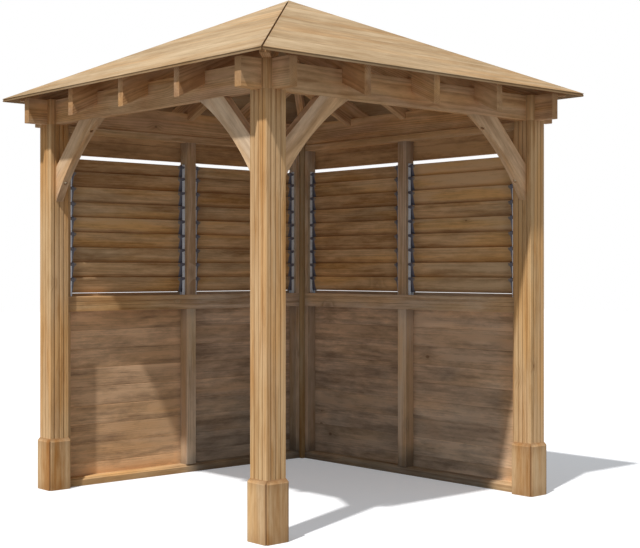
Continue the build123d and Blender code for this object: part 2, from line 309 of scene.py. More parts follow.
def buildGrain():
    # softwood: growth rings are the fraction of (distance from the pith + warp + swelling round knots)
    # over the ring width; streaks, fibres and patches are noises stretched along the grain
    look = grainLook
    tree, given, result = newGroup(
        "pineGrain", {"Vector": "Timber", "Color": grainColours, "Float": "Tone " + grainAmounts},
        {"Color": "Colour", "Float": "Height Roughness"})
    timber = given["Timber"]

    def swing(key, vector):
        # a noise about zero
        return minus(noise(vector, *look[key]), 0.5)

    finer = addNode("CombineXYZ", {0: 1.0, 1: given["Fineness"], 2: given["Fineness"]})[0]
    bend = times(swing("bendNoise", timber), look["bend"])
    bent = addNode("CombineXYZ", {0: 0.0, 1: bend, 2: bend})[0]
    marks = vectorCalc("MULTIPLY", vectorCalc("ADD", timber, bent), finer)
    warp = times(swing("warpNoise", timber), look["warp"])

    spread = vectorCalc("MULTIPLY", timber, look["knotCells"])
    knots = addNode("TexVoronoi", {"Vector": spread, "Scale": 1.0, "Randomness": 1.0})
    offset = vectorCalc("SUBTRACT", spread, knots["Position"])
    offset = vectorCalc("DIVIDE", offset, look["knotCells"])
    distance = vectorCalc("LENGTH", vectorCalc("MULTIPLY", offset, look["knotShape"]), out=1)
    pick = addNode("SeparateColor", {0: knots["Color"]})
    present = calc("GREATER_THAN", given["Knots"], pick[0])
    size = calc("MULTIPLY_ADD", pick[1], *look["knotSize"])
    ratio = calc("DIVIDE", distance, size)
    knotMask, halo = (times(present, ramp(ratio, *look[edge])) for edge in ("knotEdge", "haloEdge"))
    swell = times(times(halo, halo), times(size, look["swell"]))

    radius = vectorCalc("LENGTH", vectorCalc("MULTIPLY", timber, (0, 1, 1)), out=1)
    radius = calc("ADD", calc("ADD", radius, warp), swell)
    phase = calc("FRACT", calc("DIVIDE", radius, given["RingWidth"]))
    late = times(*(ramp(phase, *look[edge]) for edge in ("lateRise", "lateFall")))

    streak, fibre, patch, mottle = (swing(key, marks) for key in (
        "streakNoise", "fibreNoise", "patchNoise", "mottleNoise"))
    depth = summed(look["depth"], (minus(late, look["lateMean"]), given["Rings"]),
                   (streak, given["Streaks"]), (patch, given["Patches"]), (mottle, given["Mottle"]),
                   (fibre, look["fibres"]), (minus(given["Tone"], 0.5), look["tones"]))
    depth = addNode("Clamp", {0: depth})[0]
    colour = blendColour(depth, given["Early"], given["Late"])
    shifted = vectorCalc("ADD", timber, look["warmShift"])
    for key, vector in (("cool", timber), ("warm", shifted)):
        mask = ramp(noise(vector, *look[key + "Noise"]), *look[key + "Edge"])
        colour = blendColour(mask, colour, tinted(colour, given[key.capitalize()]))
    shade = calc("MULTIPLY_ADD", knotMask, look["knotShade"], times(halo, look["haloShade"]))
    feed(result["Colour"], blendColour(shade, colour, given["Knot"]))
    for name, key, marks in (("Height", "relief", (fibre, late, streak, knotMask)),
                             ("Roughness", "roughness", (late, fibre, knotMask))):
        start, amounts = look[key]
        feed(result[name], summed(start, *zip(marks, amounts)))
    return tree


edgeLook = dict(
    unevenNoise=((14, 60, 60), 3.0), uneven=(1.6, 0.2), endLength=0.09, endFace=(0.0022, 0.0008))


def buildEdges():
    # distances from the board's three pairs of sides: the middle one is the distance from the nearest
    # edge, and the first is the distance from its ends
    tree, given, result = newGroup("boardEdges", {"Vector": "Place Half Timber", "Float": "Width"},
                                   {"Float": "Edge End EndFace"})
    gap = vectorCalc("SUBTRACT", given["Half"], vectorCalc("ABSOLUTE", given["Place"]))
    x, y, z = addNode("SeparateXYZ", {0: gap})
    lower, upper = calc("MINIMUM", x, y), calc("MAXIMUM", x, y)
    middle = calc("MAXIMUM", lower, calc("MINIMUM", upper, z))
    uneven = noise(given["Timber"], *edgeLook["unevenNoise"])
    uneven = calc("MULTIPLY_ADD", uneven, *edgeLook["uneven"])
    width = times(given["Width"], uneven)
    # each result is 1 at its edge and falls to 0 further in
    feed(result["Edge"], minus(1.0, ramp(middle, 0.0, width)))
    feed(result["End"], times(ramp(x, edgeLook["endLength"], 0.0), uneven))
    feed(result["EndFace"], ramp(x, *edgeLook["endFace"]))
    return tree


grainGroup = buildGrain()
edgeGroup = buildEdges()
# the finish of all the timber, apart from what each makeWood call says otherwise; late and early are
# the colours of its rings, and the settings from ageing on are read by makeWood alone
woodLook = dict(
    early=(0.82, 0.55, 0.30), late=(0.48, 0.25, 0.095), knot=(0.18, 0.08, 0.03), cool=(0.92, 0.97, 0.98),
    warm=(1.04, 0.93, 0.76), ringWidth=0.0095, rings=0.35, streaks=1.5, patches=1.4, mottle=1.0, knots=0.4,
    fineness=1.0, ageing=0.0, agedTint=(1.0, 1.14, 1.5), wear=0.3, wearWidth=0.006, dampEnds=0.25,
    # the low band near the ground is darker and greyer with high weather and warmer with low weather: on the
    # walls painted shade and painted sunlight
    endGrain=0.5, groundNoise=((3, 3, 5), 4.0), splash=0.0, splashHeight=0.5, splashUneven=-1.6,
    # dirt is how far the shade-and-dirt mask darkens towards the knot colour: partly dirt, partly painted
    # shade
    splashEdge=(0.2, -0.8), lowWarmTint=(0.98, 0.93, 0.81), splashTint=(0.76, 0.90, 1.05), dirt=0.55,
    dirtLeast=0.45, gloss=0.14, bump=0.4, bumpHeight=0.0014)


def newMaterial(name):
    # the material, its tree and its shader
    material = bpy.data.materials.new(name)
    material.use_nodes = True
    return material, material.node_tree, material.node_tree.nodes["Principled BSDF"]


def feedShader(shader, look, height, inputs):
    # the given inputs, and the look's bump from the height
    bump = addNode("Bump", {"Strength": look["bump"], "Distance": look["bumpHeight"], "Height": height})
    for key, value in {**inputs, "Normal": bump[0]}.items():
        feed(shader.inputs[key], value)


def makeWood(name, **own):
    # one wooden finish: the grain group with its own colours and amounts, then worn edges, darker ends,
    # ageing by the weather attribute, and the knot colour mixed in by the shade-and-dirt mask, which is dirt
    # inside joints and painted shade in grooves, recesses, undersides and on shaded sides; towards the
    # ground, up to the height of the low band, wood with high weather turns greyer and darker and wood with
    # low weather warmer, which on the walls is painted shade and painted sunlight
    look = {**woodLook, **own}
    material, tree, shader = newMaterial(name)
    layer = {key: addNode("Attribute", tree=tree, attribute_name=key)["Fac" if kind == "value" else "Vector"]
             for key, kind in layers.items()}
    given = {"Timber": layer["timber"], "Tone": layer["tone"]}
    for key in grainColours.split():
        given[key] = look[key.lower()] + (1,)
    for key in grainAmounts.split():
        given[key] = look[key[0].lower() + key[1:]]
    grain = addNode("Group", given, node_tree=grainGroup)
    edges = addNode("Group", {"Place": layer["place"], "Half": layer["half"], "Timber": layer["timber"],
                              "Width": look["wearWidth"]}, node_tree=edgeGroup)
    colour = grain["Colour"]
    for mask, amount, paint in (("Edge", "wear", "early"), ("End", "dampEnds", "knot"),
                                ("EndFace", "endGrain", "late")):
        share = times(edges[mask], look[amount])
        colour = blendColour(share, colour, look[paint] + (1,))
    # along the walls weather is low where the sun falls and high in the shade, so ageing there is painted
    # shade as well as greying
    age = times(layer["weather"], look["ageing"])
    colour = blendColour(age, colour, tinted(colour, look["agedTint"] + (1,)))
    where = addNode("TexCoord", tree=tree)["Object"]
    uneven = noise(where, *look["groundNoise"])
    height = addNode("SeparateXYZ", {0: where})["Z"]
    # a low band near the ground: painted shade greys and darkens wood with high weather, painted sunlight
    # warms wood with low weather
    splash = calc("DIVIDE", height, look["splashHeight"])
    splash = calc("MULTIPLY_ADD", uneven, look["splashUneven"], splash)
    splash = times(ramp(splash, *look["splashEdge"]), look["splash"])
    warmLow, greyLow = (tinted(colour, look[key] + (1,)) for key in ("lowWarmTint", "splashTint"))
    colour = blendColour(splash, colour, blendColour(layer["weather"], warmLow, greyLow))
    # painted shade and dirt: the mask, made uneven by the ground noise, mixes in the knot colour
    dirt = times(layer["shadeDirtMask"], calc("ADD", uneven, look["dirtLeast"]))
    dirt = times(dirt, look["dirt"])
    feedShader(shader, look, grain["Height"], {
        "Base Color": blendColour(dirt, colour, look["knot"] + (1,)), "Roughness": grain["Roughness"],
        "Specular IOR Level": look["gloss"]})
    return material


# its knot colour is also the colour of the painted shade in the posts' grooves
postWood = makeWood(
    "postTimberWood", early=(0.82, 0.54, 0.285), late=(0.53, 0.275, 0.10), knot=(0.26, 0.12, 0.045),
    cool=(0.96, 0.97, 0.94), streaks=1.8, patches=1.8, mottle=1.1, dirt=0.8, ageing=1.0,
    agedTint=(0.76, 0.94, 1.2))
bootWood = makeWood(
    "bootBoardWood", early=(0.86, 0.60, 0.34), late=(0.50, 0.245, 0.08), knot=(0.24, 0.11, 0.04),
    cool=(0.98, 0.96, 0.93), rings=0.15, streaks=1.0, patches=2.6, dirt=0.65)
frameWood = makeWood(
    "frameTimberWood", early=(0.88, 0.585, 0.325), late=(0.46, 0.25, 0.11), cool=(0.93, 0.91, 0.98),
    streaks=1.0, mottle=1.4, gloss=0.1)
braceWood = makeWood(
    "braceTimberWood", early=(0.94, 0.64, 0.385), late=(0.53, 0.31, 0.165), cool=(0.94, 0.95, 0.94),
    ringWidth=0.019, rings=0.15, streaks=0.8, patches=1.8, mottle=1.8, knots=0.2, ageing=1.0,
    agedTint=(1.03, 1.13, 1.27))
wallLow = dict(
    warm=(0.99, 0.945, 0.87), ringWidth=0.012, rings=0.16, streaks=0.7, patches=2.2, mottle=2.2, knots=0.6,
    agedTint=(0.98, 1.10, 1.31), splash=0.8, splashHeight=0.8, dirt=0.22)
wallWood = makeWood(
    "wallBoardWood", early=(0.80, 0.51, 0.295), late=(0.365, 0.225, 0.13), cool=(1.30, 1.33, 1.36),
    ageing=0.9, **wallLow)
headerWood = makeWood(
    "headerBoardWood", early=(0.69, 0.44, 0.23), late=(0.33, 0.18, 0.08), cool=(0.97, 0.97, 0.95),
    **wallLow)
# its knot colour is also the colour of the painted shade on the studs' sides, in the sill's grooves and on
# its beads, and its dark grey low tint is painted shade on the shaded rails and studs near the ground
wallFrameWood = makeWood(
    "wallFrameWood", early=(0.86, 0.57, 0.31), late=(0.46, 0.25, 0.105), knot=(0.13, 0.10, 0.08),
    streaks=1.2, mottle=1.2, ageing=1.0, agedTint=(1.07, 1.27, 1.74), splash=0.9, splashHeight=0.25,
    splashTint=(0.38, 0.43, 0.49))
roofWood = makeWood(
    "roofBoardWood", early=(0.60, 0.445, 0.275), late=(0.36, 0.235, 0.12), knot=(0.19, 0.08, 0.02),
    cool=(0.97, 0.97, 0.97), warm=(1.05, 0.95, 0.84), ringWidth=0.021, rings=0.12, streaks=1.1, patches=1.5,
    mottle=1.5, knots=0.12, fineness=0.6, gloss=0.06, dirt=0.45)
bladeWood = makeWood(
    "louvreBladeWood", early=(0.86, 0.57, 0.31), late=(0.41, 0.22, 0.09), cool=(0.88, 0.94, 1.02),
    warm=(1.05, 0.94, 0.70), rings=0.2, streaks=1.3, patches=1.8, mottle=1.4, knots=0.12, dirt=0.65)


plainLook = dict(
    fineNoise=(4.0, 0.6), broadNoise=((9, 9, 9), 3.0), scuffEdge=(0.45, 0.75), dull=0.62,
    roughness=(0.25, -0.1), bump=0.2, bumpHeight=0.0004)


def makePlain(name, colour, metallic, roughness, scuffs, stretch):
    # metal or plastic: the colour and roughness vary with a stretched noise of Object coordinates
    material, tree, shader = newMaterial(name)
    where = addNode("TexCoord", tree=tree)["Object"]
    fine = noise(where, stretch, *plainLook["fineNoise"])
    broad = ramp(noise(where, *plainLook["broadNoise"]), *plainLook["scuffEdge"])
    dull = tuple(plainLook["dull"] * part for part in colour)
    mask = times(broad, scuffs)
    spread, shift = plainLook["roughness"]
    feedShader(shader, plainLook, fine, {
        "Base Color": blendColour(mask, colour + (1,), dull + (1,)), "Metallic": metallic,
        "Roughness": calc("MULTIPLY_ADD", fine, spread, roughness + shift)})
    return material


# the channel's pale bluish white is partly a painted reflection of the sky
channelMetal = makePlain("channelAluminium", (0.84, 0.91, 1.0), 0.1, 0.35, 0.05, (300, 300, 6))
clipPlastic = makePlain("clipPlastic", (0.15, 0.15, 0.19), 0.0, 0.48, 0.4, (220, 220, 220))
lipPlastic = makePlain("clipLipPlastic", (0.26, 0.22, 0.19), 0.0, 0.55, 0.5, (220, 220, 220))
boltSteel = makePlain("boltZinc", (0.80, 0.70, 0.50), 0.4, 0.36, 0.4, (400, 400, 400))
nailSteel = makePlain("nailSteel", (0.24, 0.22, 0.20), 0.3, 0.62, 0.6, (400, 400, 400))
print("finishes made")


postLook = dict(
    reeds=4, grooveDepth=0.004, edgeDepth=0.0008, grooveShape=6, edgeShape=11, dirtReach=0.9,
    pointsPerReed=14, rings=26, weather={"back_right": 1.0}, tone=0.35,
    tones={"front_right": -0.2, "front_left": 0.3, "back_right": 1.0})


def grooveAt(s):
    # how far a post's face lies back at distance s from its middle: the groove depth times
    # |2t - 1| to the power of the groove shape, where t runs from 0 to 1 across each reed; the outer
    # half of the last reeds falls only to the edge depth
    t = ((s + postHalf) / (2 * postHalf) * postLook["reeds"]) % 1.0
    lastHalf = np.abs(s) > postHalf * (1 - 1 / postLook["reeds"])
    depth = np.where(lastHalf, postLook["edgeDepth"], postLook["grooveDepth"])
    return depth * np.abs(2 * t - 1) ** postLook["grooveShape"]


def reedPoints(first, last):
    # points of the +X face from s = first to last, close together at the grooves, with the painted shade
    # of the grooves, which follows their depth; the place along the face is drawn in by the edge depth times
    # s / half to the power of the edge shape
    step, count = 2 * postHalf / postLook["reeds"], postLook["pointsPerReed"]
    t = 0.5 - 0.5 * np.cos(np.pi * np.arange(count) / count)
    s = (np.arange(postLook["reeds"])[:, None] + t[None, :]).ravel() * step - postHalf
    s = np.append(s, postHalf)
    s = np.concatenate([[first], s[(s > first + 1e-6) & (s < last - 1e-6)], [last]])
    drawnIn = s - postLook["edgeDepth"] * (s / postHalf) ** postLook["edgeShape"]
    # painted shade in the grooves, as deep as each groove, but not near the corners
    middle = np.abs(s) < postHalf * postLook["dirtReach"]
    shadeDirtMask = np.where(middle, grooveAt(s) / postLook["grooveDepth"], 0)
    return np.stack([postHalf - grooveAt(s), drawnIn], axis=1), shadeDirtMask


def makePosts():
    # a shaft of reeded outlines one over the other, and four prongs between the crossing beams, each
    # with two reeded sides round its outer corner
    face, shadeDirtMask = reedPoints(-postHalf, postHalf)
    face = np.insert(face[:-1], 2, 0.0, axis=1)
    outline = np.concatenate([turned(face, quarter) for quarter in range(4)])
    shaftShade = np.tile(shadeDirtMask[:-1], 4)
    shaft = np.array([outline + (0, 0, level) for level in np.linspace(0, beamBottom, postLook["rings"])])
    edge, shadeDirtMask = reedPoints(beamHalf, postHalf)
    prongOutline = np.concatenate([[(beamHalf, beamHalf)], edge, edge[-2::-1, ::-1]])
    prongShade = np.concatenate([[0], shadeDirtMask, shadeDirtMask[-2::-1]])
    prong = between(prongOutline, beamBottom, beamTop, 2)
    for corner, centre in corners.items():
        store = newStore()
        tone, weather = postLook["tones"].get(corner, postLook["tone"]), postLook["weather"].get(corner, 0.0)
        addBoard(store, shaft + centre, (0, 0, 1), (1, 0, 0), True, shaftShade, tone, weather)
        shift = store["timber"][0][0] - store["place"][0][0]
        for quarter in range(4):
            addBoard(store, turned(prong, quarter) + centre, (0, 0, 1), (1, 0, 0), True, prongShade, tone,
                     weather)
            # a prong is the post's own wood, so its grain runs on from the shaft's
            place = (store["points"][-1] - centre - (0, 0, beamTop / 2))[:, [2, 1, 0]]
            store["place"][-1], store["timber"][-1] = place, place + shift
            store["half"][-1][:] = (beamTop / 2, postHalf, postHalf)
        makePiece(corner + "_reeded_post", store, postWood, [corner + "_post"])


bootLook = dict(
    bevelWidth=0.017, bevelDepth=0.0033, topBevel=0.020, cornerCut=0.007, cornerEdge=(0.001, 0.003),
    mitreGap=0.0003, ease=0.0012, sharpAngle=8, bevelShade=(0.3, 1.0),
    tones={"front_left": (0.5, 0.5, -0.1, 0.9)})


def makeBoots():
    # a board's plan is mitred to its neighbours, bevelled along its outer edges and cut back at the
    # mitre, so that two boards leave a V there; its top falls outwards in a straight line by topBevel,
    # and painted shade darkens the V and the bevel on one side of it
    low, high = boxOf("front_left_boot")
    outside = -halfSpacing - low[0]
    mitre, gap, cut = outside - bootLook["bevelDepth"], bootLook["mitreGap"], bootLook["cornerCut"]
    edgeOut, edgeIn = bootLook["cornerEdge"]
    halfPlan = np.array([(postHalf, postHalf - gap), (mitre - cut, mitre - cut - gap),
                         (mitre + edgeOut, mitre - edgeIn), (outside, outside - bootLook["bevelWidth"])])
    plan = np.concatenate([halfPlan * (1, -1), halfPlan[::-1]])
    # painted shade in the V and across one bevel
    shadeDirtMask = [1, 1, 0, 0, *bootLook["bevelShade"], 1, 1]
    rings = between(plan, 0, high[2], 2)
    rings[1, :, 2] -= bootLook["topBevel"] * (plan[:, 0] - postHalf) / (outside - postHalf)
    for corner, centre in corners.items():
        store = newStore()
        for quarter in range(4):
            outward = turned((1, 0, 0), quarter)
            # a wall stands against each inward side of a post that is at the back or on the right
            inward = outward[:2] * centre[:2] < 0
            if not (inward & (centre[1::-1] > 0)).any():
                tone = bootLook["tones"].get(corner, (None,) * 4)[quarter]
                addBoard(store, turned(rings, quarter) + centre, (0, 0, 1), outward, shadeDirtMask=shadeDirtMask, tone=tone)
        makePiece(corner + "_boot_boards", store, bootWood, [corner + "_boot"],
                  bootLook["ease"], bootLook["sharpAngle"])


makePosts()
makeBoots()
print("posts and boots made")


beamLook = dict(ease=0.0025)


def makeBeams():
    # a long side view with a half-depth notch at each crossing, cut from the top on the front and
    # back beams and from underneath on the other two
    middle = (beamBottom + beamTop) / 2
    half = np.array([(beamEnd, beamBottom), (beamEnd, beamTop), (beamOuter, beamTop), (beamOuter, middle),
                     (beamInner, middle), (beamInner, beamTop)])
    outline = np.concatenate([half, half[::-1] * (-1, 1)])
    for quarter, side in enumerate(sides):
        view = outline.copy()
        if quarter % 2:
            view[:, 1] = beamBottom + beamTop - view[:, 1]
        store = newStore()
        addTurned(store, quarter, between(view, -beamOuter, -beamInner, 1), (1, 0, 0), (0, -1, 0))
        makePiece(side + "_beam_timber", store, frameWood, [side + "_beam"], beamLook["ease"])


braceLook = dict(
    boltInset=0.128, boreDepth=0.060, headHeight=(0.004, 0.026), headFlats=0.0155, washer=0.0185,
    washerThick=0.0025, washerSides=28, ease=0.0022, boltEase=0.0006, flatAngle=0.4)
# each brace: the way it runs down from the beam to its post, the way across its thickness, its weather
braces = {"front_right_brace": ((1, 0, -1), (0, -1, 0), 0.1),
          "front_left_brace": ((-1, 0, -1), (0, -1, 0), 0.9),
          "left_front_brace": ((0, -1, -1), (-1, 0, 0), 1.0),
          "left_back_brace": ((0, 1, -1), (-1, 0, 0), 0.2)}


def mergedCopy(node):
    # the node's loose triangles with equal corners made one: points rounded to 10 micrometres
    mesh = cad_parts[node].data
    points = np.zeros(len(mesh.vertices) * 3, np.float32)
    mesh.vertices.foreach_get("co", points)
    points = points.reshape(-1, 3)
    corner = np.zeros(len(mesh.loops), np.int32)
    mesh.loops.foreach_get("vertex_index", corner)
    first, which = np.unique(np.round(points, 5), axis=0, return_index=True, return_inverse=True)[1:]
    faces = which.ravel()[corner].reshape(-1, 3)
    whole = (faces != np.roll(faces, 1, axis=1)).all(axis=1)
    return points[first].astype(float), faces[whole].tolist()


def makeBraces():
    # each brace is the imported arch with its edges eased, and two bolts stand in it, square to its chord
    bolts = newStore()
    washer = braceLook["washerThick"]
    for node, (run, facing, weather) in braces.items():
        run = np.array(run, float)
        points, faces = mergedCopy(node)
        store = newStore()
        addSolid(store, points, faces, run, facing, weather=weather)
        piece = makePiece(node + "_timber", store, braceWood, [node], braceLook["ease"])
        flatten = piece.modifiers.new("flatFaces", "DECIMATE")
        flatten.decimate_type = "DISSOLVE"
        flatten.angle_limit = math.radians(braceLook["flatAngle"])
        piece.modifiers.move(1, 0)
        # the chord runs from the beam's end of the arch to the post's, and the bolts stand square to it
        low, high = boxOf(node)
        level = run * (1, 1, 0)
        top = np.where(level > 0, low, high) * np.abs(level) + (low + high) / 2 * (1 - np.abs(level))
        top[2] = high[2]
        bottom = top + run * (high[2] - low[2])
        inward = level + (0, 0, 1)
        inward /= np.linalg.norm(inward)
        unit = run / np.linalg.norm(run)
        seats = (top + unit * braceLook["boltInset"], bottom - unit * braceLook["boltInset"])
        for seat, headHeight in zip(seats, braceLook["headHeight"]):
            deep = seat + inward * braceLook["boreDepth"]
            flat = disc(braceLook["washer"] / 2, braceLook["washerSides"], 0, -washer, deep, inward)
            addBoard(bolts, flat, inward, unit)
            head = disc(braceLook["headFlats"] / 2, 6, -washer, -washer - headHeight, deep, inward)
            addBoard(bolts, head, inward, unit)
    makePiece("brace_bolts", bolts, boltSteel, [], braceLook["boltEase"])


makeBeams()
makeBraces()
print("beams and braces made")


rafterLook = dict(thickness=0.047, plumb=0.164, hipPlumb=0.130, ease=0.002)
rafterThick = rafterLook["thickness"]
hipSide = rafterThick / math.sqrt(2)


def makeRafters():
    # side view: plumb tail, notch over the beam, and a head that meets the roof block or, further
    # out, the hip's side at reach = |x| + half the hip's width along X
    outer = boxOf("front_rafters")[1][0] - rafterThick / 2
    drop = rafterLook["plumb"]
    for quarter, side in enumerate(sides):
        store = newStore()
        for place in (-outer, 0.0, outer):
            rings = []
            for x in (place - rafterThick / 2, place + rafterThick / 2):
                head = abs(x) + hipSide if place else blockHalf
                view = [(beamEnd, 0), (head, 0), (head, drop), (beamInner, drop), (beamInner, None),
                        (beamOuter, None), (beamOuter, drop), (beamEnd, drop)]
                rings.append([(x, -reach, beamTop if down is None else soffit(reach) - down)
                              for reach, down in view])
            addTurned(store, quarter, rings, (0, 1, slope), (1, 0, 0))
        makePiece(side + "_rafter_timbers", store, frameWood, [side + "_rafters"],
                  rafterLook["ease"])


def makeHips():
    # side view along the diagonal, whose length is root two times the reach along X
    aside = hipSide / 2
    lower = aside * slope
    tail = boxOf("hip_rafters")[1][0] - aside
    seat = roofHalf - (beamTop + rafterLook["hipPlumb"] + lower - soffitEave) / slope
    head = blockHalf / math.sqrt(2)
    view = [(head, soffit(head) - lower), (tail, soffit(tail) - lower), (tail, beamTop), (seat, beamTop),
            (head, soffit(head) - lower - rafterLook["hipPlumb"])]
    rings = [[(reach + way, reach - way, z) for reach, z in view] for way in (-aside, aside)]
    store = newStore()
    for quarter in range(4):
        addTurned(store, quarter, rings, (1, 1, -slope), (1, -1, 0))
    makePiece("hip_rafter_timbers", store, frameWood, ["hip_rafters"], rafterLook["ease"])
    # the block between the hips' heads is eight-sided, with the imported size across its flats
    block = newStore()
    rings = disc(blockHalf / math.cos(math.pi / 8), 8, 0, blockHigh[2] - blockLow[2],
                 np.array((0, 0, blockLow[2])), (0, 0, 1), math.pi / 8)
    addBoard(block, rings, (0, 0, 1), (1, 0, 0), pithInside=True)
    makePiece("roof_block_timber", block, frameWood, ["roof_block"], rafterLook["ease"])


jointLook = dict(chamfer=0.0022, tongue=0.0045, tongueHalf=0.0024, groove=0.0052, grooveHalf=0.0027)


def boardSection(width, thickness, grooved=True, tongued=True, c=jointLook["chamfer"]):
    # tongued and grooved section: (across, through), from 0 to width and from 0 to thickness, and the
    # shade-and-dirt mask of each point, which is 1 inside the joint
    middle = thickness / 2
    low = [(c, thickness), (0, thickness - c)]
    if grooved:
        deep, half = jointLook["groove"], jointLook["grooveHalf"]
        low += [(0, middle + half), (deep, middle + half), (deep, middle - half), (0, middle - half)]
    low += [(0, c), (c, 0)]
    high = [(width - c, 0), (width, c)]
    if tongued:
        out, half = width + jointLook["tongue"], jointLook["tongueHalf"]
        high += [(width, middle - half), (out, middle - half), (out, middle + half), (width, middle + half)]
    high += [(width, thickness - c), (width - c, thickness)]
    shadeDirtMask = [part for points in (low, high) for part in [0] + [1] * (len(points) - 2) + [0]]
    return np.array(low + high), np.array(shadeDirtMask)


# eaveShade and underside are painted shade: in the eave's shadow gap and the strip under it, and on the
# boards' undersides
roofLook = dict(
    boards=12, hipGap=0.007, tip=0.0008, lip=0.003, shadowGap=0.006, gapDepth=0.0035, drip=0.001,
    chamfer=0.0009, underside=0.9, eaveShade=(0, 0, 0.4, 0.5, 0.5, 0.5, 0.6, 0.6))


def makeRoof():
    # each face is boards laid along the eave; a section's point at a given reach from the middle
    # stands its height above the soffit there, and ends on the hip, hipGap short of reach = |x|
    count, tip, drip, chamfer = (roofLook[key] for key in ("boards", "tip", "drip", "chamfer"))
    width = roofHalf / count
    plumb = roofHigh[2] - soffit(0)
    gapTop = plumb - roofLook["lip"]
    gapLow, deep = gapTop - roofLook["shadowGap"], roofLook["gapDepth"]
    eave = [(tip, plumb), (0, plumb - tip), (0, gapTop), (deep, gapTop), (deep, gapLow), (drip, gapLow),
            (drip, drip), (2 * drip, 0)]
    plain, plainRecess = boardSection(width, plumb, False, c=chamfer)
    lowest = np.concatenate([eave, plain[4:]]), np.concatenate([roofLook["eaveShade"], plainRecess[4:]])
    sections = [lowest] + [boardSection(width, plumb, c=chamfer)] * (count - 2)
    sections.append(boardSection(width, plumb, tongued=False, c=chamfer))
    for quarter, side in enumerate(sides):
        store = newStore()
        for number, (shape, shadeDirtMask) in enumerate(sections):
            # painted shade on the boards' undersides
            shadeDirtMask = np.where(shape[:, 1] == 0, roofLook["underside"], shadeDirtMask)
            reach = roofHalf - number * width - shape[:, 0]
            length = np.maximum(reach - roofLook["hipGap"], tip)
            height = soffit(reach) + shape[:, 1]
            rings = [np.stack([length * way, -reach, height], axis=1) for way in (-1, 1)]
            addTurned(store, quarter, rings, (1, 0, 0), (0, -slope, 1), shadeDirtMask=shadeDirtMask)
        makePiece(side + "_roof_boards", store, roofWood, [side + "_roof"], sharpAngle=25)


makeRafters()
makeHips()
makeRoof()
print("roof made")


# the walls: each piece is shaped on the back wall, and the right wall is its mirror image; bayTones are
# for the boards in a wall's two bays, bayShifts and boardTones change them for one bay or one board, and
# weather is given at places along each wall: low where the sun falls on it, so that those stretches are
# painted warmer as sunlight, and high in the shade, painted greyer and darker as shade
wallLook = dict(
    stud=0.075, sideStud=0.032, boards=9, buttGap=0.0004, headerJoint=0.093, railSlope=0.014, ease=0.002,
    rings=14, sideShade=0.62, grooves=(0.032, 0.057), grooveWidth=0.005, grooveDepth=0.002, grooveFloor=0.6,
    grooveShade=(0.1, 0.4, 0.4, 0.1), beadHeight=0.0185, beadPlace=(0.062, 0.077), beadChamfer=0.003,
    beadShade=0.8, sillTone=0.6, lowerTones=(0.7, -0.05, 0.7), upperTones=(0.6, 0.75, 0.6),
    outsideWeather=0.4, outsideTone=0.3, topRailWeather=0.2,
    toneSpread={"bottom_rail": 0.2, "studs": 0.0, "top_rail": 0.1, "sill": 0.2, "lower_boards": 0.17,
                "header_boards": 0.15, "louvre_blades": 0.35},
    bayTones={"back": (0.15, 0.5), "right": (0.15, 0.5)},
    bayShifts={("louvre_blades", "back", 0): 0.3, ("louvre_blades", "right", 0): 0.15},
    boardTones={("louvre_blades", "right", 16): -0.8, ("louvre_blades", "right", 14): -0.35},
    # painted sun and shade: weather is low on the back wall's sunlit left bay and its mullion's sunlit side,
    # and on the right wall's sunlit front end
    weather={"back": ((-1.0, 0.0), (-0.1, 0.1), (-0.042, 0.25), (-0.038, 0.7), (0.038, 0.85), (0.05, 1.0),
                      (1.0, 1.0)),
             "right": ((-0.86, 0.0), (-0.74, 0.9), (0.0, 0.93), (1.0, 1.0))})
mullion = wallLook["stud"] / 2
windowSide = postInner - wallLook["sideStud"]
wallSides = (("back", np.asarray), ("right", acrossDiagonal))


def wallPiece(part, boards, material, ease=0.0, sharpAngle=35, evenOutside=False):
    # boards is a list of (rings, grain, facing, recess) on the back wall, with a tone of its own or with
    # its bay's tone and up to toneSpread either way; its weather is read off along the wall, and with
    # evenOutside the outer face has one tone and weather all along
    look = wallLook
    for side, place in wallSides:
        store = newStore()
        for number, (rings, grain, facing, shadeDirtMask, *own) in enumerate(boards):
            along, through = rings[..., 0].ravel(), rings[..., 1].ravel()
            bay = int(along.mean() > 0)
            shift = rng.uniform(-1, 1) * look["toneSpread"][part]
            tone = look["bayTones"][side][bay] + look["bayShifts"].get((part, side, bay), 0.0) + shift
            tone = own[0] if own else look["boardTones"].get((part, side, number), tone)
            weather = np.interp(along, *np.transpose(look["weather"][side]))
            if part == "top_rail":
                weather = look["topRailWeather"]
            if evenOutside:
                outside = through > through.mean()
                weather = np.where(outside, look["outsideWeather"], weather)
                tone = np.where(outside, look["outsideTone"] + shift, tone)
            addBoard(store, *map(place, (rings, grain, facing)), False, shadeDirtMask, tone, weather)
        makePiece(f"{side}_{part}_wood", store, material, [f"{side}_{part}"], ease, sharpAngle)


def alongWall(outline, start=-postInner, end=postInner, shadeDirtMask=0.0):
    # an outline in (y, z) carried along X in equal steps, with its grain and its facing
    ends = between(outline, start, end, 0)
    share = np.linspace(0, 1, wallLook["rings"])[:, None, None]
    return ends[0] * (1 - share) + ends[1] * share, (1, 0, 0), (0, 1, 0), shadeDirtMask


def upright(x0, x1, bottom, top, tone):
    # a piece of timber that stands in the wall, with eased corners and painted shade on its sides
    e, dark, y0, y1 = wallLook["ease"], wallLook["sideShade"], frameInner, frameOuter
    outline = [(x0 + e, y0), (x1 - e, y0), (x1, y0 + e), (x1, y1 - e), (x1 - e, y1), (x0 + e, y1),
               (x0, y1 - e), (x0, y0 + e)]
    return between(outline, bottom, top, 2), (0, 0, 1), (0, 1, 0), [0, 0, dark, dark] * 2, tone


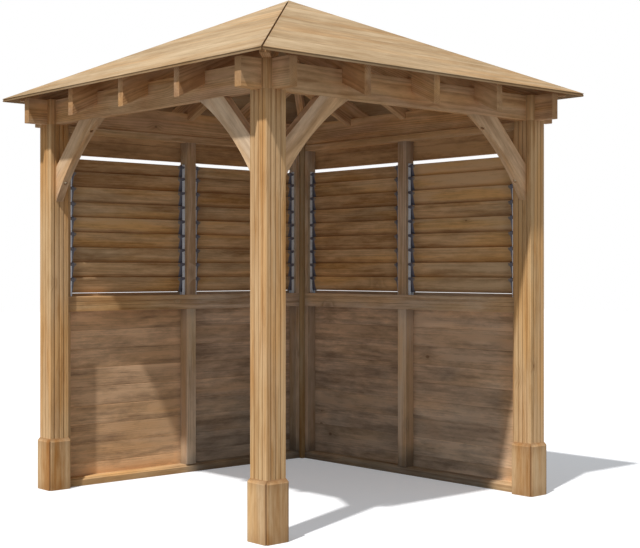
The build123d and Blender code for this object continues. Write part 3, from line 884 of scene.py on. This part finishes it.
def makeWallFrame():
    # the bottom rail, the studs under and over the sill, the top rail and the sill, by their sections
    e, sloped = wallLook["ease"], wallLook["railSlope"]
    rail = [(frameInner, 0), (frameOuter, 0), (frameOuter, railTop), (frameInner + sloped, railTop),
            (frameInner, railTop - sloped)]
    wallPiece("bottom_rail", [alongWall(rail)], wallFrameWood, e)

    narrow = wallLook["sideStud"] / 2
    plateLow, plateHigh = boxOf("back_top_rail")
    studs = []
    places = ((narrow - postInner, narrow), (0, mullion), (postInner - narrow, narrow))
    for bottom, top, tones in ((railTop, sillLow[2], wallLook["lowerTones"]),
                               (sillHigh[2], plateLow[2], wallLook["upperTones"])):
        for (middle, half), tone in zip(places, tones):
            studs.append(upright(middle - half, middle + half, bottom, top, tone))
    wallPiece("studs", studs, wallFrameWood)
    plate = [(plateLow[1], plateLow[2]), (plateHigh[1], plateLow[2]), (plateHigh[1], plateHigh[2]),
             (plateLow[1], plateHigh[2])]
    wallPiece("top_rail", [alongWall(plate)], wallFrameWood, e)

    # the sill's inner face has two grooves with sloping sides, measured down from its top
    face, bottom, top, outer = [], sillLow[2], sillHigh[2], sillHigh[1]
    half, deep = wallLook["grooveWidth"] / 2, frameInner + wallLook["grooveDepth"]
    for down in wallLook["grooves"][::-1]:
        level, floor = top - down, half * wallLook["grooveFloor"]
        face += [(frameInner, level - half), (deep, level - floor), (deep, level + floor),
                 (frameInner, level + half)]
    sill = [(frameInner + e, bottom), (frameInner, bottom + e), *face, (frameInner, top - e),
            (frameInner + e, top), (outer - e, top), (outer, top - e), (outer, bottom + e),
            (outer - e, bottom)]
    # painted shade in the sill's two grooves
    sillShade = [0, 0, *wallLook["grooveShade"] * 2] + [0] * 6
    # a bead on the sill, outside the lowest blade, in each bay, darkened all over by painted shade
    near, far = (frameInner + step for step in wallLook["beadPlace"])
    high, c = top + wallLook["beadHeight"], wallLook["beadChamfer"]
    bead = [(near, top), (far, top), (far, high - c), (far - c, high), (near + c, high), (near, high - c)]
    boards = [alongWall(sill, shadeDirtMask=sillShade) + (wallLook["sillTone"],)]
    for start, end in ((-windowSide, -mullion), (mullion, windowSide)):
        boards.append(alongWall(bead, start, end, wallLook["beadShade"]))
    wallPiece("sill", boards, wallFrameWood)


def layBoards(node, heights, material):
    # tongued and grooved boards laid level between the given heights, one run to each bay, tongue up
    low, high = boxOf("back_" + node)
    gap, last = wallLook["buttGap"], len(heights) - 2
    boards = []
    for number, (bottom, top) in enumerate(zip(heights[:-1], heights[1:])):
        section, shadeDirtMask = boardSection(top - bottom, high[1] - low[1], number > 0, number < last)
        outline = np.stack([low[1] + section[:, 1], bottom + section[:, 0]], axis=1)
        boards += [alongWall(outline, *run, shadeDirtMask) for run in ((-postInner, -gap), (gap, postInner))]
    wallPiece(node, boards, material, evenOutside=True)


boardsLow, boardsHigh = boxOf("back_lower_boards")
headerLow, headerHigh = boxOf("back_header_boards")
lowerHeights = np.linspace(boardsLow[2], boardsHigh[2], wallLook["boards"] + 1)
headerHeights = np.array([headerLow[2], headerLow[2] + wallLook["headerJoint"], headerHigh[2]])


# the louvre windows; an outline across a blade is (up the blade, through it)
louvreLook = dict(
    width=0.098, thickness=0.007, crown=0.0085, bladeShape=(2.4, 20), pitch=0.0944, tilt=math.radians(14),
    dirtEdge=(0.4, 0.6), dirtShape=1.3, channelWidth=0.030, channelFlange=0.021, channelSheet=0.002,
    clipZone=0.038, clipThickness=0.011, clipMargin=0.003, clipShape=(9, 14), lipLength=0.016,
    lipHeight=0.034, lipTop=0.004, lipChamfer=0.008, lipRoot=0.3, lipProud=0.0016, lipTaper=0.6,
    arm=((-0.027, -0.004), (-0.020, -0.0115), (0.001, -0.009), (0.003, -0.003)), armReach=0.006,
    armTaper=0.35)
bladeLow, bladeHigh = boxOf("back_louvre_blades")
frameMiddle = (frameInner + frameOuter) / 2
tiltSin, tiltCos = math.sin(louvreLook["tilt"]), math.cos(louvreLook["tilt"])


def bladeRows():
    # (height of the middle, width) of each blade: the rows climb by the pitch, and the highest blade
    # is cut narrower to end at the top of the window
    aslant = louvreLook["thickness"] * tiltSin
    tall = louvreLook["width"] * tiltCos + aslant
    rows = []
    bottom = bladeLow[2]
    while bottom < bladeHigh[2] - tall / 2:
        top = min(bottom + tall, bladeHigh[2])
        rows.append(((bottom + top) / 2, (top - bottom - aslant) / tiltCos))
        bottom += louvreLook["pitch"]
    return rows


def tilted(outline, start, end, height):
    # an outline across a blade, leaning inwards at the top and carried along X
    flat = np.asarray(outline, float) @ [[-tiltSin, tiltCos], [tiltCos, tiltSin]] + (frameMiddle, height)
    return between(flat, start, end, 0)


def lens(width, thickness, shape, count):
    # rounded section: half thickness times the root of 1 - |2u / width| ** shape, both ways
    u = -0.5 * width * np.cos(np.pi * np.arange(count + 1) / count)
    rise = 0.5 * thickness * np.sqrt(np.maximum(1 - np.abs(2 * u / width) ** shape, 0))
    upper = np.stack([u, rise], axis=1)
    return np.concatenate([upper, (upper * (1, -1))[-2:0:-1]])


def makeBlades():
    # painted shade darkens a blade's lower part: it starts at one share of the half width below the middle,
    # grows to the full over another share, and follows the power of the shade's shape
    inner, outer = mullion + louvreLook["clipZone"], bladeHigh[0]
    start, over = louvreLook["dirtEdge"]
    boards = []
    for height, width in bladeRows():
        section = lens(width, louvreLook["crown"], *louvreLook["bladeShape"])
        shadeDirtMask = np.clip((-2 * section[:, 0] / width - start) / over, 0, 1) ** louvreLook["dirtShape"]
        boards += [(tilted(section, *run, height), (1, 0, 0), (0, tiltCos, tiltSin), shadeDirtMask)
                   for run in ((-outer, -inner), (inner, outer))]
    wallPiece("louvre_blades", boards, bladeWood, sharpAngle=60)


def makeChannels():
    # a sheet channel stands against each stud, and a clip reaches from its web to each blade's end,
    # which its two lips hold; an arm stands out from the clip over the channel's inner flange,
    # tapering to the web
    look = louvreLook
    sheet, deep, zone = look["channelSheet"], look["channelFlange"], look["clipZone"]
    wide, slant = look["channelWidth"] / 2, look["lipChamfer"]
    plan = np.array([(0, -wide), (deep, -wide), (deep, sheet - wide), (sheet, sheet - wide),
                     (sheet, wide - sheet), (deep, wide - sheet), (deep, wide), (0, wide)])
    ends = [(-windowSide, 1), (-mullion, -1), (mullion, 1), (windowSide, -1)]
    channelTop = boxOf("back_louvre_channels")[1][2]
    for side, place in wallSides:
        channels, clips, lips = newStore(), newStore(), newStore()

        def add(store, rings):
            addBoard(store, place(rings), (0, 0, 1), (1, 0, 0))

        for start, way in ends:
            web, bladeEnd, lipEnd, armEnd = (start + way * step for step in (
                sheet, zone, zone + look["lipLength"], deep + look["armReach"]))
            add(channels, between(plan * (way, 1) + (start, frameMiddle), sillHigh[2], channelTop, 2))
            for height, width in bladeRows():
                body = lens(width + 2 * look["clipMargin"], look["clipThickness"], *look["clipShape"])
                add(clips, tilted(body, web, bladeEnd, height))
                arm = tilted(np.array(look["arm"]) + (width / 2, 0), web, armEnd, height)
                arm[0] = arm[0].mean(axis=0) + look["armTaper"] * (arm[0] - arm[0].mean(axis=0))
                add(clips, arm)
                top, bottom = width / 2 - look["lipTop"], width / 2 - look["lipHeight"]
                for face in (-1, 1):
                    near = face * look["crown"] * look["lipRoot"]
                    far = face * (look["crown"] / 2 + look["lipProud"])
                    lip = [(bottom, near), (top, near), (top - slant, far), (bottom + slant, far)]
                    lip = tilted(lip, bladeEnd, lipEnd, height)
                    level = lip[0, :, 2].max()
                    lip[1, :, 2] = level + (lip[1, :, 2] - level) * look["lipTaper"]
                    add(lips, lip)
        makePiece(side + "_louvre_channel_sheet", channels, channelMetal,
                  [side + "_louvre_channels"], sharpAngle=30)
        makePiece(side + "_louvre_clips", clips, clipPlastic, [], sharpAngle=40)
        makePiece(side + "_louvre_clip_lips", lips, lipPlastic, [], sharpAngle=40)


nailLook = dict(
    radius=0.0035, sides=10, sunk=0.001, proud=0.0006, fromJoint=0.024, fromPost=0.016, fromMiddle=0.02,
    shake=0.003)


def makeNails():
    # two heads to a board at each stud, on the outside of the lower boards and the header boards
    look = nailLook
    aside, middle, rise = postInner - look["fromPost"], look["fromMiddle"], look["fromJoint"]
    for side, place in wallSides:
        store = newStore()
        for heights in (lowerHeights, headerHeights):
            for bottom, top in zip(heights[:-1], heights[1:]):
                for x in (-aside, -middle, middle, aside):
                    for level in (bottom + rise, top - rise):
                        shake = rng.uniform(-look["shake"], look["shake"], 2)
                        centre = np.array((x + shake[0], boardsHigh[1], level + shake[1]))
                        head = disc(look["radius"], look["sides"], -look["sunk"], look["proud"], centre,
                                    (0, 1, 0))
                        addBoard(store, place(head), (0, 0, 1), (1, 0, 0))
        makePiece(side + "_cladding_nails", store, nailSteel, [])


makeWallFrame()
layBoards("lower_boards", lowerHeights, wallWood)
layBoards("header_boards", headerHeights, headerWood)
makeBlades()
makeChannels()
makeNails()
print("walls made")


stageLook = dict(
    floor=60.0, bounce=0.30, seen=0.85, glow=0.26, glowColour=(0.88, 0.935, 1.0), sunStrength=3.1,
    sunAngle=1.6, sunWay=(0.553, 0.207, -1.0), sky=(0.95, 0.97, 1.0), skyStrength=0.34)


def whenSeen(tree, output, hidden, seen):
    # rays from the camera or a mirror meet the seen shader, and all other light the hidden one
    path = addNode("LightPath", tree=tree)
    direct = calc("MAXIMUM", path["Is Camera Ray"], path["Is Glossy Ray"])
    feed(tree.nodes[output].inputs["Surface"], addNode("MixShader", {0: direct, 1: hidden, 2: seen})[0])


def makeStage():
    # the floor looks white to the camera and keeps the shadow, and sends less light back up
    half = stageLook["floor"] / 2
    mesh = bpy.data.meshes.new("floor")
    square = [(-half, -half, 0), (half, -half, 0), (half, half, 0), (-half, half, 0)]
    mesh.from_pydata(square, [], [[0, 1, 2, 3]])
    material, tree, shader = newMaterial("paleFloor")
    tree.nodes.remove(shader)
    seen, bounce = (addNode("BsdfDiffuse", {"Color": (stageLook[key],) * 3 + (1,)}, tree)[0]
                    for key in ("seen", "bounce"))
    glow = {"Color": stageLook["glowColour"] + (1,), "Strength": stageLook["glow"]}
    glow = addNode("Emission", glow, tree)[0]
    whenSeen(tree, "Material Output", bounce, addNode("AddShader", {0: seen, 1: glow})[0])
    mesh.materials.append(material)
    newObject("floor", mesh)

    world = bpy.data.worlds.new("studio")
    bpy.context.scene.world = world
    world.use_nodes = True
    tree = world.node_tree
    sky = tree.nodes["Background"]
    sky.inputs["Color"].default_value = stageLook["sky"] + (1,)
    sky.inputs["Strength"].default_value = stageLook["skyStrength"]
    white = addNode("Background", {"Color": (1, 1, 1, 1), "Strength": 1.0}, tree)[0]
    whenSeen(tree, "World Output", sky.outputs[0], white)

    lamp = bpy.data.lights.new("sun", "SUN")
    lamp.energy = stageLook["sunStrength"]
    lamp.angle = math.radians(stageLook["sunAngle"])
    x, y, z = stageLook["sunWay"]
    sun = newObject("sun", lamp)
    sun.rotation_euler = (math.atan2(math.hypot(x, y), -z), 0, math.atan2(y, x) - math.pi / 2)


cameraLook = dict(
    place=(-5.1044, -5.8811, 1.3468), turn=40.962, lens=72.0, sensor=36.0, shift=(0.0489, -0.0066))


def makeCamera():
    # the camera looks level, turned by turn from +Y towards +X
    view = bpy.data.cameras.new("camera")
    view.sensor_width, view.lens = cameraLook["sensor"], cameraLook["lens"]
    view.shift_x, view.shift_y = cameraLook["shift"]
    camera = newObject("camera", view)
    camera.location = cameraLook["place"]
    camera.rotation_euler = (math.pi / 2, 0, -math.radians(cameraLook["turn"]))
    bpy.context.scene.camera = camera


makeStage()
makeCamera()
bpy.context.scene.view_settings.view_transform = "Standard"
print("stage ready")
